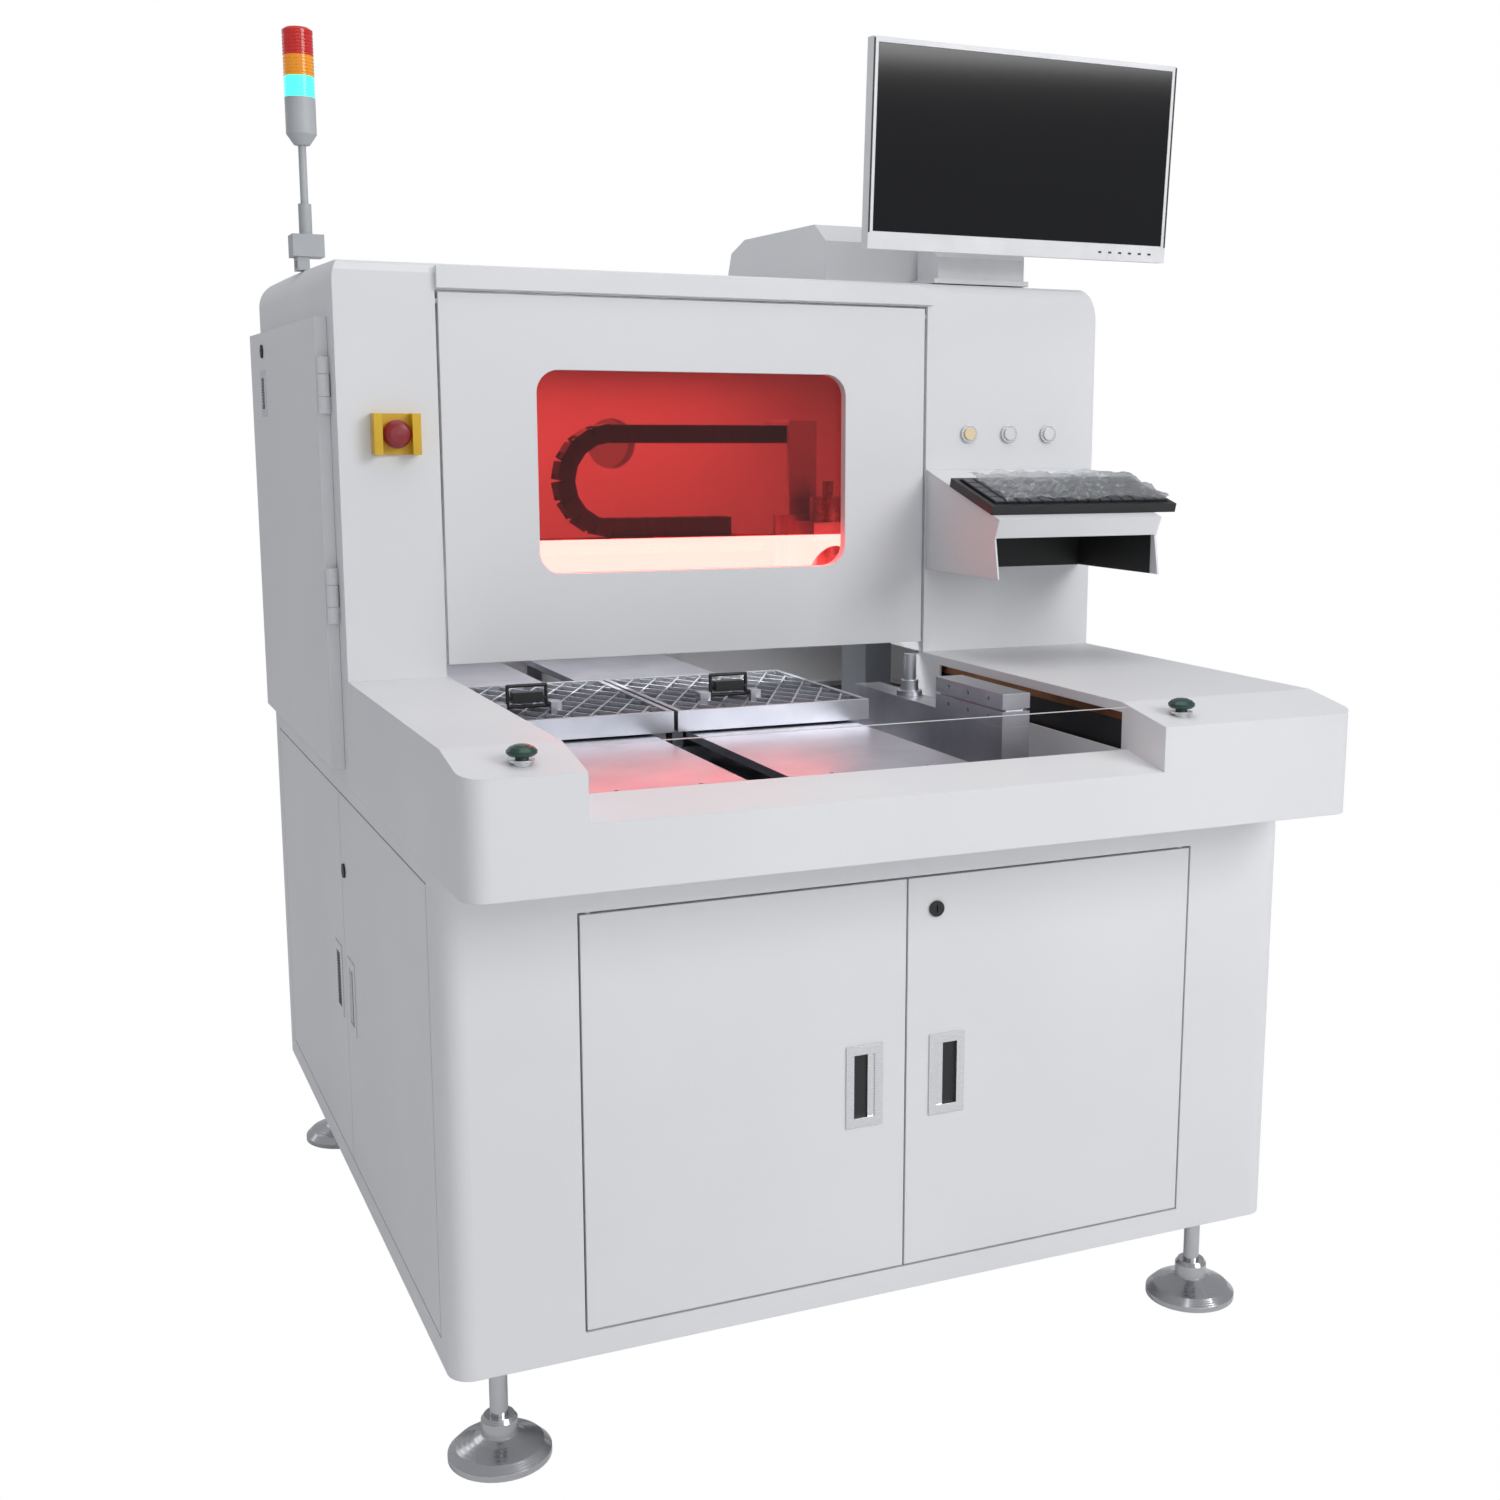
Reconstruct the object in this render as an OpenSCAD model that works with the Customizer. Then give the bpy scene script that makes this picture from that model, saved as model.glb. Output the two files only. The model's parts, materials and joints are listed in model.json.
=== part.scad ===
// Twin-table board separating machine: sheet-metal cabinet, shuttle tables, gantry router,
// safety door, operator controls, monitor and tower light.
// Machine frame: x to the right, y to the back, z up, in millimetres.

/* [Overall] */
// Width of the cabinet
machine_w = 1250; // [1200:10:1320]
// Depth of the cabinet from the front lip to the back
machine_d = 1490; // [1470:10:1540]
// Thickness of the sheet metal
sheet = 3; // [2:0.5:4]
// Radius of the upright front corners
corner_r = 31; // [15:1:45]

/* [Base cabinet] */
// Height of the cabinet floor above the ground
base_z = 155; // [145:5:175]
// How far the deck lip reaches over the base
lip_reach = 145; // [120:5:170]
// Section of the welded frame tube
tube = 60; // [50:5:64]
// Distance of a levelling foot from the side
foot_side = 76; // [70:1:84]
// Distance of a levelling foot from the base front or back
foot_end = 80; // [74:1:90]
// Radius of a foot pad
pad_r = 68; // [55:1:75]
// Radius of a foot stud
stud_r = 12; // [8:0.5:14]

/* [Doors] */
// Left edge of the front door opening
door_x = 172; // [150:1:200]
// Width of the front door opening
door_w = 912; // [860:2:940]
// Bottom of the front door opening above the cabinet floor
door_sill = 34; // [30:1:60]
// Height of the front door opening
door_h = 556; // [520:2:580]
// Front edge of the side door opening behind the base front
side_door_y = 60; // [50:5:90]
// Width of the side door opening
side_door_w = 1240; // [1180:10:1250]
// Thickness of a door leaf
leaf_t = 20; // [18:1:22]
// Gap round a door leaf
door_gap = 3; // [2.5:0.5:4]
// Radius of a hinge pin
pin_r = 4; // [3:0.5:5]
// Radial running clearance of pins and shafts
fit = 0.05; // [0.03:0.01:0.08]

/* [Deck] */
// Height of the deck
deck_z = 969; // [960:1:985]
// Height of the underside of the lip
lip_z = 808; // [800:1:815]
// Drop of the sloped front strip
strip_drop = 19; // [12:1:24]
// Depth of the sloped front strip
strip_d = 105; // [95:1:120]
// Left edge of the loading opening
notch_x = 146; // [136:1:150]
// Width of the loading opening
notch_w = 785; // [780:1:800]
// Height of the front bar at its back edge
bar_z = 906; // [905:1:908]
// Depth of the front bar
bar_d = 90; // [80:1:95]

/* [Hood] */
// Distance from the lip to the hood front
hood_y = 696; // [690:2:720]
// Height of the hood top
hood_z = 1562; // [1550:2:1600]
// Distance from the hood back to the cabinet back
hood_inset = 40; // [35:1:60]
// Radius of the right top edge
hood_r = 70; // [50:1:80]
// Height of the top edge of the safety door
panel_top = 1522; // [1515:1:1530]
// Height of the bottom edge of the safety door
panel_z = 987; // [985:1:995]
// Thickness of the safety door
panel_t = 22; // [18:1:24]
// Width of the window
window_w = 501; // [400:5:560]
// Height of the window
window_h = 300; // [240:5:340]
// Corner radius of the window
window_r = 34; // [15:1:50]
// How far the hood side door stands proud
side_proud = 18; // [14:1:20]

/* [Tables] */
// Width of a shuttle table
table_w = 300; // [290:1:303]
// Length of a shuttle table
table_l = 350; // [320:5:380]
// Thickness of a fixture
fixture_t = 30; // [24:1:32]
// Distance from the lip to the table front at the loading place
table_y = 445; // [430:5:470]
// Width of a lattice rib of the fixture
rib = 3; // [2:0.5:5]
// Spacing of the lattice ribs
rib_pitch = 34; // [28:1:60]
// Radius of a ball screw
screw_r = 8; // [6:0.5:9]

/* [Gantry] */
// Height of the top of the gantry beam
beam_z = 1150; // [1140:1:1160]
// Distance from the lip to the front of the gantry beam
beam_y = 930; // [920:5:950]
// Radius of the spindle body
spindle_r = 31; // [25:1:33]
// Radius of the collet bore
collet_r = 1.6; // [1.6:0.1:3.2]
// Pitch of the drag chain
chain_pitch = 30; // [26:1:36]

/* [Operator] */
// Radius of a panel push button
button_r = 9.7; // [8:0.1:10.5]
// Radius of the emergency stop head
stop_r = 20; // [17:1:21]
// Radius of a green start button head
start_r = 18; // [15:1:20]
// Width of the monitor
monitor_w = 542; // [480:2:560]
// Height of the monitor
monitor_h = 306; // [280:2:330]
// Width of the keyboard
keyboard_w = 336; // [290:2:336]
// Width of the keyboard tray
tray_w = 294; // [280:1:300]
// Radius of the tower light lenses
lens_r = 23; // [18:1:26]

/* [Hidden] */
$fn = 48;
EPS = 0.01;
WHITE = [0.9, 0.9, 0.9];
STEEL = [0.75, 0.76, 0.78];
DARK = [0.12, 0.12, 0.13];
SILVER = [0.83, 0.84, 0.86];

// Base
base_h = lip_z - base_z;
base_d = machine_d - lip_reach;
frame_in = 30;
frame_gap = 40;
frame_top = lip_z + sheet + 1;
frame_x1 = machine_w - frame_in;
frame_y0 = lip_reach + frame_gap;
frame_y1 = machine_d - frame_gap;
door_z = base_z + door_sill;
door_split = door_x + door_w / 2;
side_z = base_z + door_sill;
side_h = 598;
side_y = lip_reach + side_door_y;
side_split = side_y + side_door_w / 2;
pin_in = 12;
pin_deep = 8;
pin_len = 14;
skin = 2;
flange_d = leaf_t + 2 + sheet;
leaf_w = (door_w - 3 * door_gap) / 2;
leaf_h = door_h - 2 * door_gap;
side_leaf_w = (side_door_w - 3 * door_gap) / 2;
side_leaf_h = side_h - 2 * door_gap;
pull_w = 54;
pull_h = 115;
cup_w = 35;
cup_h = 93;
cup_d = leaf_t - 4;
pull_off = 61;
pull_z = 462;
side_pull_off = 53;
side_pull_z = 474;
lock_r = 11;
barrel_r = 8;
lock_off = 42;
lock_z = 697;
side_lock_off = 24;
side_lock_z = 666;

// Feet
foot_x = [foot_side, machine_w - foot_side];
foot_y = [lip_reach + foot_end, machine_d - foot_end];
stud_top = base_z + sheet + 65;
stud_z = 26;
hub_z = 58;
nut_h = 32;
nut_r = 20;

// Deck and loading opening
notch_x1 = notch_x + notch_w;
strip_z = deck_z - strip_drop;
strip_tilt = atan(strip_drop / strip_d);
bar_front_z = bar_z - bar_d * strip_drop / strip_d;
left_wall_h = 26;
slot_z0 = bar_z - 3;
slot_h = 52;
slot_y1 = 632;

// Bed and tables
bed_z = frame_top;
bed_t = 24;
bed_top = bed_z + bed_t;
bed_y0 = 92;
bed_y1 = 1432;
bed_x0 = 44;
bed_x1 = 1000;
rail_w = 15;
rail_h = 20;
rail_y1 = 1330;
slide_gap = 0.3;
block_w = 34;
block_l = 60;
block_z = bed_top + 5;
sled_z = bed_top + 36;
sled_t = 10;
table_gap = 6;
table_mid = 410;
fixture_z = bar_z + 2;
screw_z = bed_top + 24;
left_x = table_mid - table_gap / 2 - table_w;
right_x = table_mid + table_gap / 2;
neck_in = 2;
rail_off = 42;
cover_t = 3;
cover_left = [notch_x + 4, table_mid - 32];
cover_right = [table_mid + 24, right_x + table_w - 23];
cover_fold = 8;
cover_z = bar_z - 4;
cover_y0 = bar_d + 0.3;
cover_y1 = 1424;
screw_y0 = 112;
screw_y1 = 1345;
motor_s = 44;
motor_l = 70;
left_neck = [25, 22];
right_neck = [16, 18];
bail_wire = 2.5;
bail_h = 30;

// Gantry
beam_h = 90;
beam_d = 70;
post_w = 50;
post_l = 100;
post_x = [bed_x0 + 2, bed_x1 - 10 - post_w];
x_rail_z = [beam_z - beam_h + 15, beam_z - 15];
x_rail_d = 18;
x_screw_z = beam_z - beam_h / 2;
x_screw_y = beam_y - 24;
carriage_x = 745;
carriage_w = 140;
carriage_y = beam_y - 50;
plate_t = 10;
spindle_x = carriage_x + carriage_w / 2;
spindle_y = carriage_y - 58;
spindle_z = 1010;
spindle_l = 210;
collet_h = 16;
nose_gap = 1;
chain_y = beam_y + 18;
chain_w = 40;
chain_h = 30;
bend_n = 8;
chain_bend = chain_pitch / (2 * sin(90 / bend_n));
chain_x = 482;
chain_low = beam_z + 3 + chain_h / 2;
chain_fixed = 7;
chain_free = 11;
chain_top = chain_low + 2 * chain_bend + chain_h / 2;
chain_swing = 1.9;

// Side module
module_x = 817;
module_w = 44;
module_y = 230;
module_l = 480;
module_z = 921;
module_block_l = 200;
post_y = 560;
post_h = panel_z - module_z - 1;

// Hood
hood_y1 = machine_d - hood_inset;
panel_x = notch_x + 1;
panel_w = notch_w - 4;
window_x = 288;
window_z = 1116;
pane_t = 5;
pane_lap = 10;
hood_door_y = 750;
hood_door_l = 705;
hood_door_z = 832;
hood_door_h = 654;
hood_left_r = 45;
spigot_r = 50;
spigot_x = 640;
spigot_z = 1300;

hinge_z = [1090, 1390];
hinge_y = hood_door_y - 9;
knuckle_r = side_proud / 2 - 0.7;
back_out = 4.3;
hood_lock_y = 1300;
hood_lock_z = 1455;
hood_pull_z = 1385;
hood_cup_h = 56;
z_rail_x = [carriage_x + 35, carriage_x + carriage_w - 35];
bail_span = [75, 155];

// Operator pieces
tower_z = 1765;
tower_body_h = 70;
lens_h = 31;
button_z = 1325;
button_x = [1011, 1086, 1161];
button_hole = 11.2;
stop_x = 79;
stop_w = 66;
stop_h = 58;
start_y = 40;
start_x = [80, notch_x1 + 52];
start_z = strip_z + start_y * strip_drop / strip_d + 2.5;
block_low = 1592;
hood_rise = 18;
function hood_top(y) = hood_z + hood_rise * (y - hood_y) / (hood_y1 - hood_y);
tray_x = 935;
tray_low = 1106;
tray_back_z = 1267;
tray_front_z = 1198;
tray_front_y = 455;
tray_tilt = atan((tray_back_z - tray_front_z) / (hood_y - tray_front_y));
monitor_x = 1060;
monitor_y = 612;
monitor_z = 1608;
monitor_t = 40;
monitor_tilt = -3.5;
pivot_y = 690;
pivot_z = 1765;
tower_x = 25;
tower_y = 1060;

// The origin lies on the ground below the middle of the whole machine
span_x0 = -side_proud - 3;
span_x1 = monitor_x + monitor_w / 2;
origin_x = (span_x0 + span_x1) / 2;
span_y1 = machine_d + back_out;
origin_y = span_y1 / 2;

module machine() translate([-origin_x, -origin_y, 0]) children();

// A box given by its low corner and size
module box(at, size) translate(at) cube(size);

// A cylinder along y
module rod_y(at, r, l) translate(at) rotate([-90, 0, 0]) cylinder(r = r, h = l);

// A cylinder along x
module rod_x(at, r, l) translate(at) rotate([0, 90, 0]) cylinder(r = r, h = l);

// A profile drawn in y and z, run along x
module along_x(x, l) translate([x, 0, 0]) rotate([90, 0, 90]) linear_extrude(l) children();

// A profile drawn in x and z, run along y
module along_y(y, l) translate([0, y + l, 0]) rotate([90, 0, 0]) linear_extrude(l) children();

// A rectangle whose two front corners are round
module front_round(x0, y0, x1, y1, r) {
    translate([x0, y0 + r]) square([x1 - x0, y1 - y0 - r]);
    translate([x0 + r, y0]) square([x1 - x0 - 2 * r, r + EPS]);
    translate([x0 + r, y0 + r]) circle(r);
    translate([x1 - r, y0 + r]) circle(r);
}

// A rectangle with four round corners
module round_rect(w, h, r) {
    translate([r, 0]) square([w - 2 * r, h]);
    translate([0, r]) square([w, h - 2 * r]);
    for (x = [r, w - r], y = [r, h - r]) translate([x, y]) circle(r);
}

// Swap x and y, for doors on the left side
module swap() mirror([1, -1, 0]) children();

// Flange ring of a door opening with its hinge pins; x across, y inwards, z up
module opening_ring(w, h) {
    difference() {
        translate([-sheet, 0, -sheet]) cube([w + 2 * sheet, flange_d, h + 2 * sheet]);
        translate([0, -1, 0]) cube([w, flange_d + 2, h]);
    }
    for (z = [0, h - 8]) translate([40, flange_d - sheet, z]) cube([w - 80, sheet, 8]);
    for (x = [door_gap + pin_in, w - door_gap - pin_in]) {
        translate([x, pin_deep, -sheet]) cylinder(r = pin_r, h = sheet + door_gap + pin_len);
        translate([x, pin_deep, h - door_gap - pin_len])
            cylinder(r = pin_r, h = sheet + door_gap + pin_len);
    }
}

// Cut for the opening of a door
module opening_cut(w, h) translate([0, -1, 0]) cube([w, flange_d + 2, h]);

// Folded door leaf, hinge side at x = 0, with pull and lock cut-outs
module leaf(w, h, pull_x, pull_up, lock_x, lock_up) {
    difference() {
        union() {
            difference() {
                cube([w, leaf_t, h]);
                translate([skin, skin, skin]) cube([w - 2 * skin, leaf_t, h - 2 * skin]);
            }
            for (z = [skin - EPS, h - 20]) translate([skin - EPS, skin - EPS, z])
                cube([22, leaf_t - skin, 20 - skin + EPS]);
            if (lock_x > 0) translate([lock_x, skin - EPS, lock_up]) rotate([-90, 0, 0])
                cylinder(r = barrel_r + 4, h = 8);
        }
        for (z = [-1, h - pin_len - 1]) translate([pin_in, pin_deep, z])
            cylinder(r = pin_r + fit, h = pin_len + 2);
        translate([pull_x - cup_w / 2 - 0.3, -1, pull_up - cup_h / 2 - 0.3])
            cube([cup_w + 0.6, skin + 2, cup_h + 0.6]);
        if (lock_x > 0) translate([lock_x, -1, lock_up]) rotate([-90, 0, 0])
            cylinder(r = barrel_r + fit, h = leaf_t);
    }
}

// Flush pull: proud frame and cup, centred, face at y = 0
module flush_pull(depth) {
    difference() {
        union() {
            translate([-pull_w / 2, -2, -pull_h / 2]) cube([pull_w, 2, pull_h]);
            translate([-cup_w / 2, -EPS, -cup_h / 2]) cube([cup_w, depth, cup_h]);
        }
        translate([-cup_w / 2 + 2, -3, -cup_h / 2 + 2]) cube([cup_w - 4, depth + 1, cup_h - 4]);
    }
    translate([cup_w / 2 - 12, 0, -cup_h / 2 + 1]) cube([11, 3, cup_h - 2]);
}

// Cam lock: head, barrel and cam, turning about y; the cam hangs down when open
module cam_lock(cam_y, cam_l) {
    difference() {
        translate([0, -3, 0]) rotate([-90, 0, 0]) cylinder(r = lock_r, h = 3 - 0.3);
        translate([-1, -4, -5]) cube([2, 3, 10]);
    }
    translate([0, -1, 0]) rotate([-90, 0, 0]) cylinder(r = barrel_r, h = cam_y + 4);
    translate([-8, cam_y, -cam_l]) cube([16, 3, cam_l + 8]);
}

module base_cabinet() color(WHITE) machine() {
    difference() {
        translate([0, 0, base_z]) linear_extrude(base_h)
            front_round(0, lip_reach, machine_w, machine_d, corner_r);
        translate([0, 0, base_z + sheet]) linear_extrude(base_h) front_round(sheet,
            lip_reach + sheet, machine_w - sheet, machine_d - sheet, corner_r - sheet);
        translate([door_x, lip_reach, door_z]) opening_cut(door_w, door_h);
        translate([0, side_y, side_z]) swap() opening_cut(side_door_w, side_h);
        box([150, machine_d - sheet - 1, base_z + 60], [machine_w - 300, sheet + 2, 520]);
        for (x = foot_x, y = foot_y) translate([x, y, base_z - 1])
            cylinder(r = stud_r + 0.3, h = sheet + 2);
    }
    translate([door_x, lip_reach, door_z]) opening_ring(door_w, door_h);
    translate([0, side_y, side_z]) swap() opening_ring(side_door_w, side_h);
}

module base_frame() color(STEEL) machine() {
    difference() {
        union() {
            for (z = [base_z + sheet + 0.3, frame_top - tube]) {
                for (y = [frame_y0, frame_y1 - tube])
                    box([frame_in, y, z], [frame_x1 - frame_in, tube, tube]);
                for (x = [frame_in, frame_x1 - tube])
                    box([x, frame_y0, z], [tube, frame_y1 - frame_y0, tube]);
            }
            for (x = [frame_in, frame_x1 - tube], y = [frame_y0, frame_y1 - tube])
                box([x, y, base_z + sheet + 1], [tube, tube, frame_top - base_z - sheet - 1]);
            box([frame_in + tube - 1, 760, frame_top - tube],
                [frame_x1 - frame_in - 2 * tube + 2, tube, tube]);
        }
        for (x = foot_x, y = foot_y) translate([x, y, base_z])
            cylinder(r = stud_r + 0.3, h = stud_top - base_z + 5);
    }
}

module levelling_feet() color(STEEL) machine() for (x = foot_x, y = foot_y) translate([x, y, 0]) {
    rotate_extrude() polygon([[0, 0], [pad_r, 0], [pad_r, 8], [pad_r - 10, 18], [34, 27],
        [24, 32], [24, hub_z - 6], [stud_r + 8, hub_z], [stud_r + 0.3, hub_z],
        [stud_r + 0.3, stud_z - 6], [0, stud_z - 6]]);
    translate([0, 0, stud_z - 5.7]) cylinder(r = stud_r, h = stud_top - stud_z + 5);
    difference() {
        translate([0, 0, base_z - 0.3 - nut_h]) cylinder(r = nut_r * 1.15, h = nut_h, $fn = 6);
        translate([0, 0, base_z - nut_h - 2]) cylinder(r = stud_r + 0.3, h = nut_h + 4);
    }
}

module deck_outer() intersection() {
    along_x(0, machine_w) polygon([[0, lip_z], [machine_d, lip_z], [machine_d, deck_z],
        [strip_d, deck_z], [0, strip_z]]);
    linear_extrude(deck_z + 100) front_round(0, 0, machine_w, machine_d, corner_r);
}

module deck_inner() intersection() {
    along_x(sheet, machine_w - 2 * sheet) polygon([[sheet, lip_z + sheet],
        [machine_d - sheet, lip_z + sheet], [machine_d - sheet, deck_z - sheet],
        [strip_d, deck_z - sheet], [sheet, strip_z - sheet + 0.5]]);
    linear_extrude(deck_z + 100) front_round(sheet, sheet, machine_w - sheet,
        machine_d - sheet, corner_r - sheet);
}

module deck_shell() color(WHITE) machine() difference() {
    union() {
        difference() {
            deck_outer();
            deck_inner();
        }
        intersection() {
            deck_outer();
            union() {
                box([notch_x - sheet, 0, bar_front_z - 8], [sheet, bar_d, 200]);
                box([notch_x - sheet, bar_d - 1, deck_z - left_wall_h],
                    [sheet, hood_y - bar_d + 21, left_wall_h]);
                box([notch_x1, 0, 846], [sheet, hood_y + 20, 200]);
                along_x(notch_x - sheet, notch_w + 2 * sheet) polygon([[0, bar_front_z - sheet],
                    [bar_d - sheet, bar_z - sheet - 0.6], [bar_d - sheet, bar_z - 18],
                    [bar_d, bar_z - 18], [bar_d, bar_z], [0, bar_front_z]]);
            }
        }
    }
    along_x(notch_x, notch_w) polygon([[-1, bar_front_z - strip_drop / strip_d],
        [bar_d, bar_z], [bar_d, deck_z + 10], [-1, deck_z + 10]]);
    box([notch_x, bar_d - 1, deck_z - sheet - 2], [notch_w, hood_y + 20 - bar_d, sheet + 3]);
    box([25, hood_y + 12, deck_z - sheet - 2],
        [bed_x1 - 12, hood_y1 - 40 - hood_y, sheet + 3]);
    box([25, lip_reach + 35, lip_z - 1], [machine_w - 50, machine_d - lip_reach - 70, sheet + 2]);
    box([notch_x1 - 1, bar_d + 13, slot_z0], [sheet + 2, slot_y1 - bar_d - 13, slot_h]);
    for (x = start_x) translate([x, start_y, deck_z - 60]) cylinder(r = button_hole, h = 100);
}

module cover(x0, x1) difference() {
    union() {
        box([x0, cover_y0, cover_z], [x1 - x0, cover_y1 - cover_y0, cover_t]);
        for (x = [x0, x1 - 2])
            box([x, cover_y0, cover_z - cover_fold], [2, cover_y1 - cover_y0, cover_fold + 1]);
        box([x0 + 20, cover_y0 + 2, bed_top], [x1 - x0 - 40, 12, cover_z - bed_top + 1]);
        for (x = [x0 + 20, x1 - 50])
            box([x, cover_y1 - 14, bed_top], [30, 12, cover_z - bed_top + 1]);
    }
    for (x = [x0 + 60, x1 - 60], y = [cover_y0 + 8, cover_y1 - 8]) translate([x, y, cover_z])
        cylinder(r = 3.2, h = cover_t + 1);
}

module floor_covers() color(STEEL) machine() {
    cover(cover_left[0], cover_left[1]);
    cover(cover_right[0], cover_right[1]);
}

module machine_bed() color(STEEL) machine() {
    box([bed_x0, bed_y0, bed_z], [bed_x1 - bed_x0, bed_y1 - bed_y0, bed_t]);
    for (tx = [left_x, right_x], y = [screw_y0 - 4, screw_y1]) difference() {
        box([tx + table_w / 2 - 22, y, bed_top - 1], [44, 12, screw_z - bed_top + 12]);
        rod_y([tx + table_w / 2, y - 1, screw_z], screw_r + fit, 14);
    }
}

module linear_rails() color(STEEL) machine() {
    for (tx = [left_x, right_x], dx = [rail_off, table_w - rail_off])
        box([tx + dx - rail_w / 2, bed_y0 + 28, bed_top], [rail_w, rail_y1 - bed_y0 - 28, rail_h]);
    for (z = x_rail_z) box([post_x[0], beam_y - x_rail_d, z - rail_w / 2],
        [post_x[1] + post_w - post_x[0], x_rail_d, rail_w]);
}

module motor() {
    translate([-motor_s / 2, 0, -motor_s / 2]) cube([motor_s, motor_l, motor_s]);
    translate([-motor_s / 2 + 4, motor_l - EPS, -motor_s / 2 + 4])
        cube([motor_s - 8, 6, motor_s - 8]);
}

module axis_motors() color(DARK) machine() {
    for (tx = [left_x, right_x]) translate([tx + table_w / 2, screw_y1 + 12, screw_z - 2 + 2])
        difference() {
            motor();
            translate([0, -1, 0]) rotate([-90, 0, 0]) cylinder(r = screw_r + 0.5, h = 8);
        }
    translate([post_x[0] + post_w / 2, beam_y + beam_d, x_screw_z]) motor();
}

module gantry_frame() color(STEEL) machine() {
    for (x = post_x) box([x, beam_y, bed_top], [post_w, post_l, beam_z - beam_h - bed_top + 1]);
    box([post_x[0], beam_y, beam_z - beam_h], [post_x[1] + post_w - post_x[0], beam_d, beam_h]);
    for (x = post_x) box([x, beam_y + beam_d - 1, beam_z - beam_h],
        [post_w, post_l - beam_d + 1, 20]);
    box([chain_x, beam_y, beam_z - 1], [chain_fixed * chain_pitch + 20, beam_d, 4 - 0.3]);
}

module chain_link() difference() {
    translate([-chain_pitch / 2 + 0.15, -chain_w / 2, -chain_h / 2])
        cube([chain_pitch - 0.3, chain_w, chain_h]);
    translate([-chain_pitch, -chain_w / 2 + 4, -chain_h / 2 + 4])
        cube([2 * chain_pitch, chain_w - 8, chain_h - 8]);
    for (z = [-chain_h / 2 - 1, chain_h / 2 - 3]) translate([-chain_pitch, -chain_w / 2 + 4, z])
        cube([chain_pitch - 6, chain_w - 8, 4]);
}

module drag_chain() color(DARK) machine() translate([0, chain_y + chain_w / 2, 0]) {
    for (i = [0 : chain_fixed - 1])
        translate([chain_x + (i + 0.5) * chain_pitch, 0, chain_low]) chain_link();
    for (i = [0 : chain_free - 1])
        translate([chain_x + (i + 0.5) * chain_pitch, 0, chain_low + 2 * chain_bend]) chain_link();
    for (i = [0 : bend_n - 1]) translate([chain_x, 0, chain_low + chain_bend])
        rotate([0, (i + 0.5) * 180 / bend_n + 180, 0])
            translate([0, 0, chain_bend * cos(90 / bend_n) + 1.7]) chain_link();
}

module rounded_section(x0, x1, z0, z1, rl, rr) {
    translate([x0, z0]) square([x1 - x0, z1 - z0 - max(rl, rr)]);
    translate([x0 + rl, z0]) square([x1 - x0 - rl - rr, z1 - z0]);
    translate([x0, z0]) square([rl + EPS, z1 - z0 - rl]);
    translate([x1 - rr, z0]) square([rr, z1 - z0 - rr]);
    translate([x0 + rl, z1 - rl]) circle(rl);
    translate([x1 - rr, z1 - rr]) circle(rr);
}

module hood_block(g) intersection() {
    along_y(hood_y + g, hood_y1 - hood_y - 2 * g)
        rounded_section(g, machine_w - g, deck_z, hood_z + hood_rise - g, hood_left_r - g, hood_r - g);
    along_x(0, machine_w) polygon([[hood_y + g, deck_z - 10], [hood_y1 - g, deck_z - 10],
        [hood_y1 - g, hood_z + hood_rise - g], [hood_y + 14, hood_z - g],
        [hood_y + 5 + g, hood_z - 4 - g], [hood_y + g, hood_z - 14 - g]]);
}

module hood_shell() color(WHITE) machine() {
    difference() {
        union() {
            difference() {
                hood_block(0);
                translate([0, 0, -EPS]) hood_block(sheet);
            }
            box([notch_x1 + 2, hood_y + 1, deck_z], [sheet, 120, panel_top + door_gap - deck_z]);
            box([notch_x - sheet - door_gap, hood_y + 1, deck_z], [sheet, 50, panel_top + door_gap - deck_z]);
            box([notch_x - sheet - door_gap, hood_y + 1, panel_top + door_gap],
                [notch_w + 2 * door_gap, 30, sheet]);
        }
        box([notch_x - door_gap, hood_y - 1, deck_z - 1],
            [notch_w + 2 + door_gap, sheet + 2, panel_top + door_gap - deck_z + 1]);
        box([-1, hood_door_y + 25, deck_z + 16], [sheet + 2, 630, 487]);
        rod_y([spigot_x, hood_y1 - sheet - 1, spigot_z], spigot_r - 2, sheet + 2);
        for (x = button_x) rod_y([x, hood_y - 1, button_z], button_hole, sheet + 2);
        rod_y([stop_x, hood_y - 1, 1322], button_hole, sheet + 2);
    }
    rod_x([notch_x - door_gap - 1, hood_y + pin_deep, panel_top - pin_in], pin_r, door_gap + 2 + pin_len);
    rod_x([panel_x + panel_w - pin_len, hood_y + pin_deep, panel_top - pin_in],
        pin_r, notch_x1 + 3 - panel_x - panel_w + pin_len);
    for (z = hinge_z) {
        translate([-side_proud / 2, hinge_y, z - 40]) cylinder(r = knuckle_r, h = 24);
        translate([-side_proud / 2, hinge_y, z + 16]) cylinder(r = knuckle_r, h = 24);
        translate([-side_proud / 2, hinge_y, z - 20]) cylinder(r = knuckle_r / 2, h = 40);
        for (dz = [-40, 16]) box([-side_proud / 2, hinge_y - 2.5, z + dz], [side_proud / 2 + 1, 5, 24]);
    }
}

module header_cover() color(WHITE) machine() along_y(hood_y - 8.3, 8) {
    translate([notch_x - 2, panel_top + 5]) square([notch_w - 19, hood_z - panel_top - 9]);
    intersection() {
        translate([notch_x1 - 22, panel_top + 5]) scale((hood_z - panel_top - 9) / 20) circle(20);
        translate([notch_x1 - 22, panel_top + 5]) square([60, hood_z - panel_top - 9]);
    }
}

module rear_cover() color(WHITE) machine() along_x(800, 370) polygon([[800, hood_top(800) + 0.5],
    [800, 1631], [845, 1660], [1150, 1662], [1215, 1643], [1235, 1600],
    [1235, hood_top(1235) + 0.5]]);

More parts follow.
